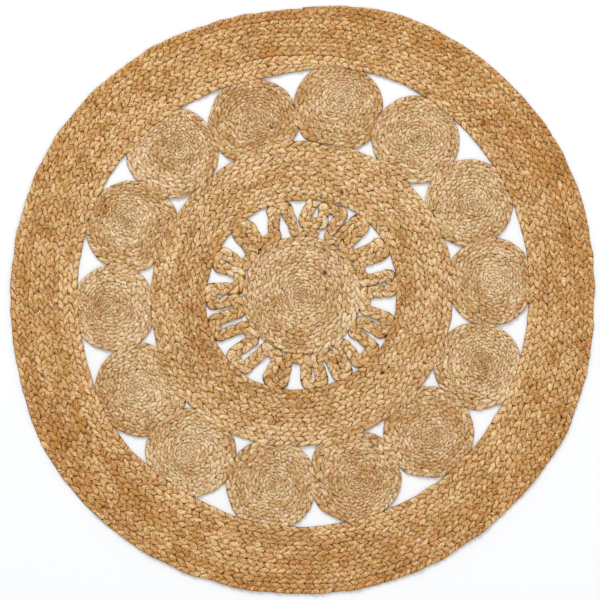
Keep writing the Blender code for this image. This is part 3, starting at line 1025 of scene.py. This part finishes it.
# The start, then each loop's run outwards and its run back, as the directions of a run's low
# end at the middle coil and its high end at the inner band, in degrees.
RUNS = (
    Run(low=87.3, high=82.2),
    Run(74.3, 75.0), Run(65.2, 63.5),
    Run(57.3, 54.0), Run(48.3, 47.0),
    Run(36.5, 33.7), Run(28.3, 26.5),
    Run(12.4, 12.8), Run(2.4, 3.0),
    Run(-12.6, -15.2), Run(-24.6, -25.2),
    Run(-35.2, -35.6), Run(-48.5, -49.5),
    Run(-57.3, -58.3), Run(-66.0, -65.8),
    Run(-76.5, -75.8), Run(-85.9, -86.8),
    Run(-102.2, -102.7), Run(-110.7, -111.3),
    Run(-125.2, -127.5), Run(-138.0, -138.6),
    Run(-151.2, -153.5), Run(-164.7, -163.7),
    Run(-175.2, -174.2), Run(-185.3, -184.5),
    Run(-199.4, -199.0), Run(-207.4, -208.4),
    Run(-222.0, -223.5), Run(-231.3, -232.2),
    Run(-246.4, -251.2), Run(-263.2, -260.3),
)
START_TURN_EDGE = 138.5 * MM  # how far from the heart the start's turn keeps
TAIL_DEGREES = range(-271, -287, -3)
TAIL_HALF = 8.0 * MM  # the tail is pulled tight
print("runs:", len(RUNS))

# %% Where the loops have room
inner_opening = edges_of_band("inner_band", HEART)[0]


def band_reach(first, last):
    """How far out the loops may reach between two directions in degrees."""
    directions = np.radians([first, (first + last) / 2, last])
    return inner_opening(directions).min() - LOOP_GAP


def run_angle(run, share):
    """The direction of a run in degrees: share is 0 at its low end and 1 at its high end."""
    return run.low + (run.high - run.low) * share


def free_half(index, share, radius):
    """Half the width that a run's neighbours leave it, at most the braid's own."""
    own = run_angle(RUNS[index], share)
    beside = [run_angle(run, share) for run in RUNS[max(index - 1, 0) : index + 2]]
    apart = min(abs(angle - own) for angle in beside if angle != own)
    return min(LOOP_HALF, (radians(apart) * radius - LOOP_SLIT) / 2)


print("inner opening to the right:", round(float(inner_opening(0.0)) / MM, 1), "mm")

# %% The bends
Spot = namedtuple("Spot", "radius degrees half corner")
CORNER_SPREAD = 0.7  # how much further the braid spreads on the outer side of a corner


def quarter(index, high, apex, turning, half, side):
    """A quarter turn between a run and its bend's apex.

    high is 1 at the inner band and 0 at the middle coil. turning is the bend's radius. side
    is 1 where the run leads into the bend and -1 where the bend leads into the run.
    """
    outwards = 2 * high - 1
    spots = []
    for step in CORNER_DEGREES[::side]:
        beside = turning * (1 - cos(radians(step)))
        radius = apex - outwards * turning * (1 - sin(radians(step)))
        angle = run_angle(RUNS[index], high) - side * degrees(beside / apex)
        corner = CORNER_SPREAD * sin(radians(2 * step))
        spots.append(Spot(radius, angle, min(half, free_half(index, high, radius)), corner))
    return spots


def bend(index):
    """The hairpin from a run to the next one. Those after an even run are at the middle."""
    high = index % 2
    outwards = 2 * high - 1
    first, last = (run_angle(run, high) for run in RUNS[index : index + 2])
    edge = band_reach(first, last) if high else DISC_EDGE + LOOP_GAP
    if index == 0:
        edge = START_TURN_EDGE
    room = radians(first - last) / 2
    widest = min(room * (edge - outwards * LOOP_HALF), LOOP_CORNER) - LOOP_HOLLOW
    half = min(LOOP_HALF, widest)
    apex = edge - outwards * half
    turning = room * apex if room * apex < LOOP_ROUND else LOOP_CORNER
    into = quarter(index, high, apex, turning, half, 1)
    return into + quarter(index + 1, high, apex, turning, half, -1)


print("spots in a bend:", len(bend(1)))

# %% [markdown]
# ## The route of the loops
#
# The bends and the widest place of each run are strung together, from the start that is sewn
# to the inner band to the tail that lies along the middle coil. A curve through these spots
# could overshoot in the hairpins. Averaging close points can't, and it rounds the corners as
# a soft braid does.

# %% From spots to a route
ROUTE_STEP = 2.0 * MM
SOFT_STEPS = 7  # how many neighbours are averaged to round the bends off
LOOP_SPREAD = 1.08  # the strands bulge a little over the solid's straight sides


def run_middle(index):
    """The middle of a run, where the braid is widest."""
    angle = run_angle(RUNS[index], 0.5)
    radius = (DISC_EDGE + inner_opening(radians(angle))) / 2
    return Spot(radius, angle, free_half(index, 0.5, radius), 0.0)


def loop_spots():
    angle = RUNS[0].high
    opening = inner_opening(radians(angle))
    half = free_half(0, 1, opening)
    aside = degrees(half / opening)
    start = band_reach(angle + aside, angle - aside)
    spots = [Spot(start, angle, half, 0.0)] + bend(0)
    for index in range(1, len(RUNS) - 1):
        spots += [*bend(index), run_middle(index + 1)]
    tail = DISC_EDGE + LOOP_GAP + TAIL_HALF
    spots += quarter(len(RUNS) - 1, 0, tail, LOOP_CORNER, TAIL_HALF, 1)
    return spots + [Spot(tail, angle, TAIL_HALF, 0.0) for angle in TAIL_DEGREES]


def loops_route():
    """The loops' places, set close together and softened."""
    spots = np.array(loop_spots())
    angle = np.radians(spots[:, 1])
    x = HEART[0] + spots[:, 0] * np.cos(angle)
    y = HEART[1] + spots[:, 0] * np.sin(angle)
    reached = np.concatenate([[0.0], np.cumsum(np.hypot(np.diff(x), np.diff(y)))])
    even = np.linspace(0, reached[-1], round(reached[-1] / ROUTE_STEP))
    soft = []
    for line in (x, y, spots[:, 2] * LOOP_SPREAD, spots[:, 3]):
        line = np.interp(even, reached, line)
        padded = np.pad(line, SOFT_STEPS // 2, mode="reflect", reflect_type="odd")
        soft.append(np.convolve(padded, np.full(SOFT_STEPS, 1 / SOFT_STEPS), mode="valid"))
    x, y, half, corner = soft
    return Route(x, y, half, thickness(half), even / even[-1], corner)


loop_route = loops_route()
print("points on the route:", len(loop_route.x))

# %% Lay the loops
LOOP_HABIT = Habit(pitch=0.78, loose=1.2, wander=0.5 * MM)
lay_braid(
    ["loop_plait"], "loop_braid", loop_finish, loop_route, LOOP_HABIT, (0.0, 0.0)
)

# %% [markdown]
# ## What was made
#
# The counts of chevrons and triangles that were made are printed. The strands stand a little
# proud of the solids, as the rows of a real braid bulge.

# %% What was made, and the end
print(made)
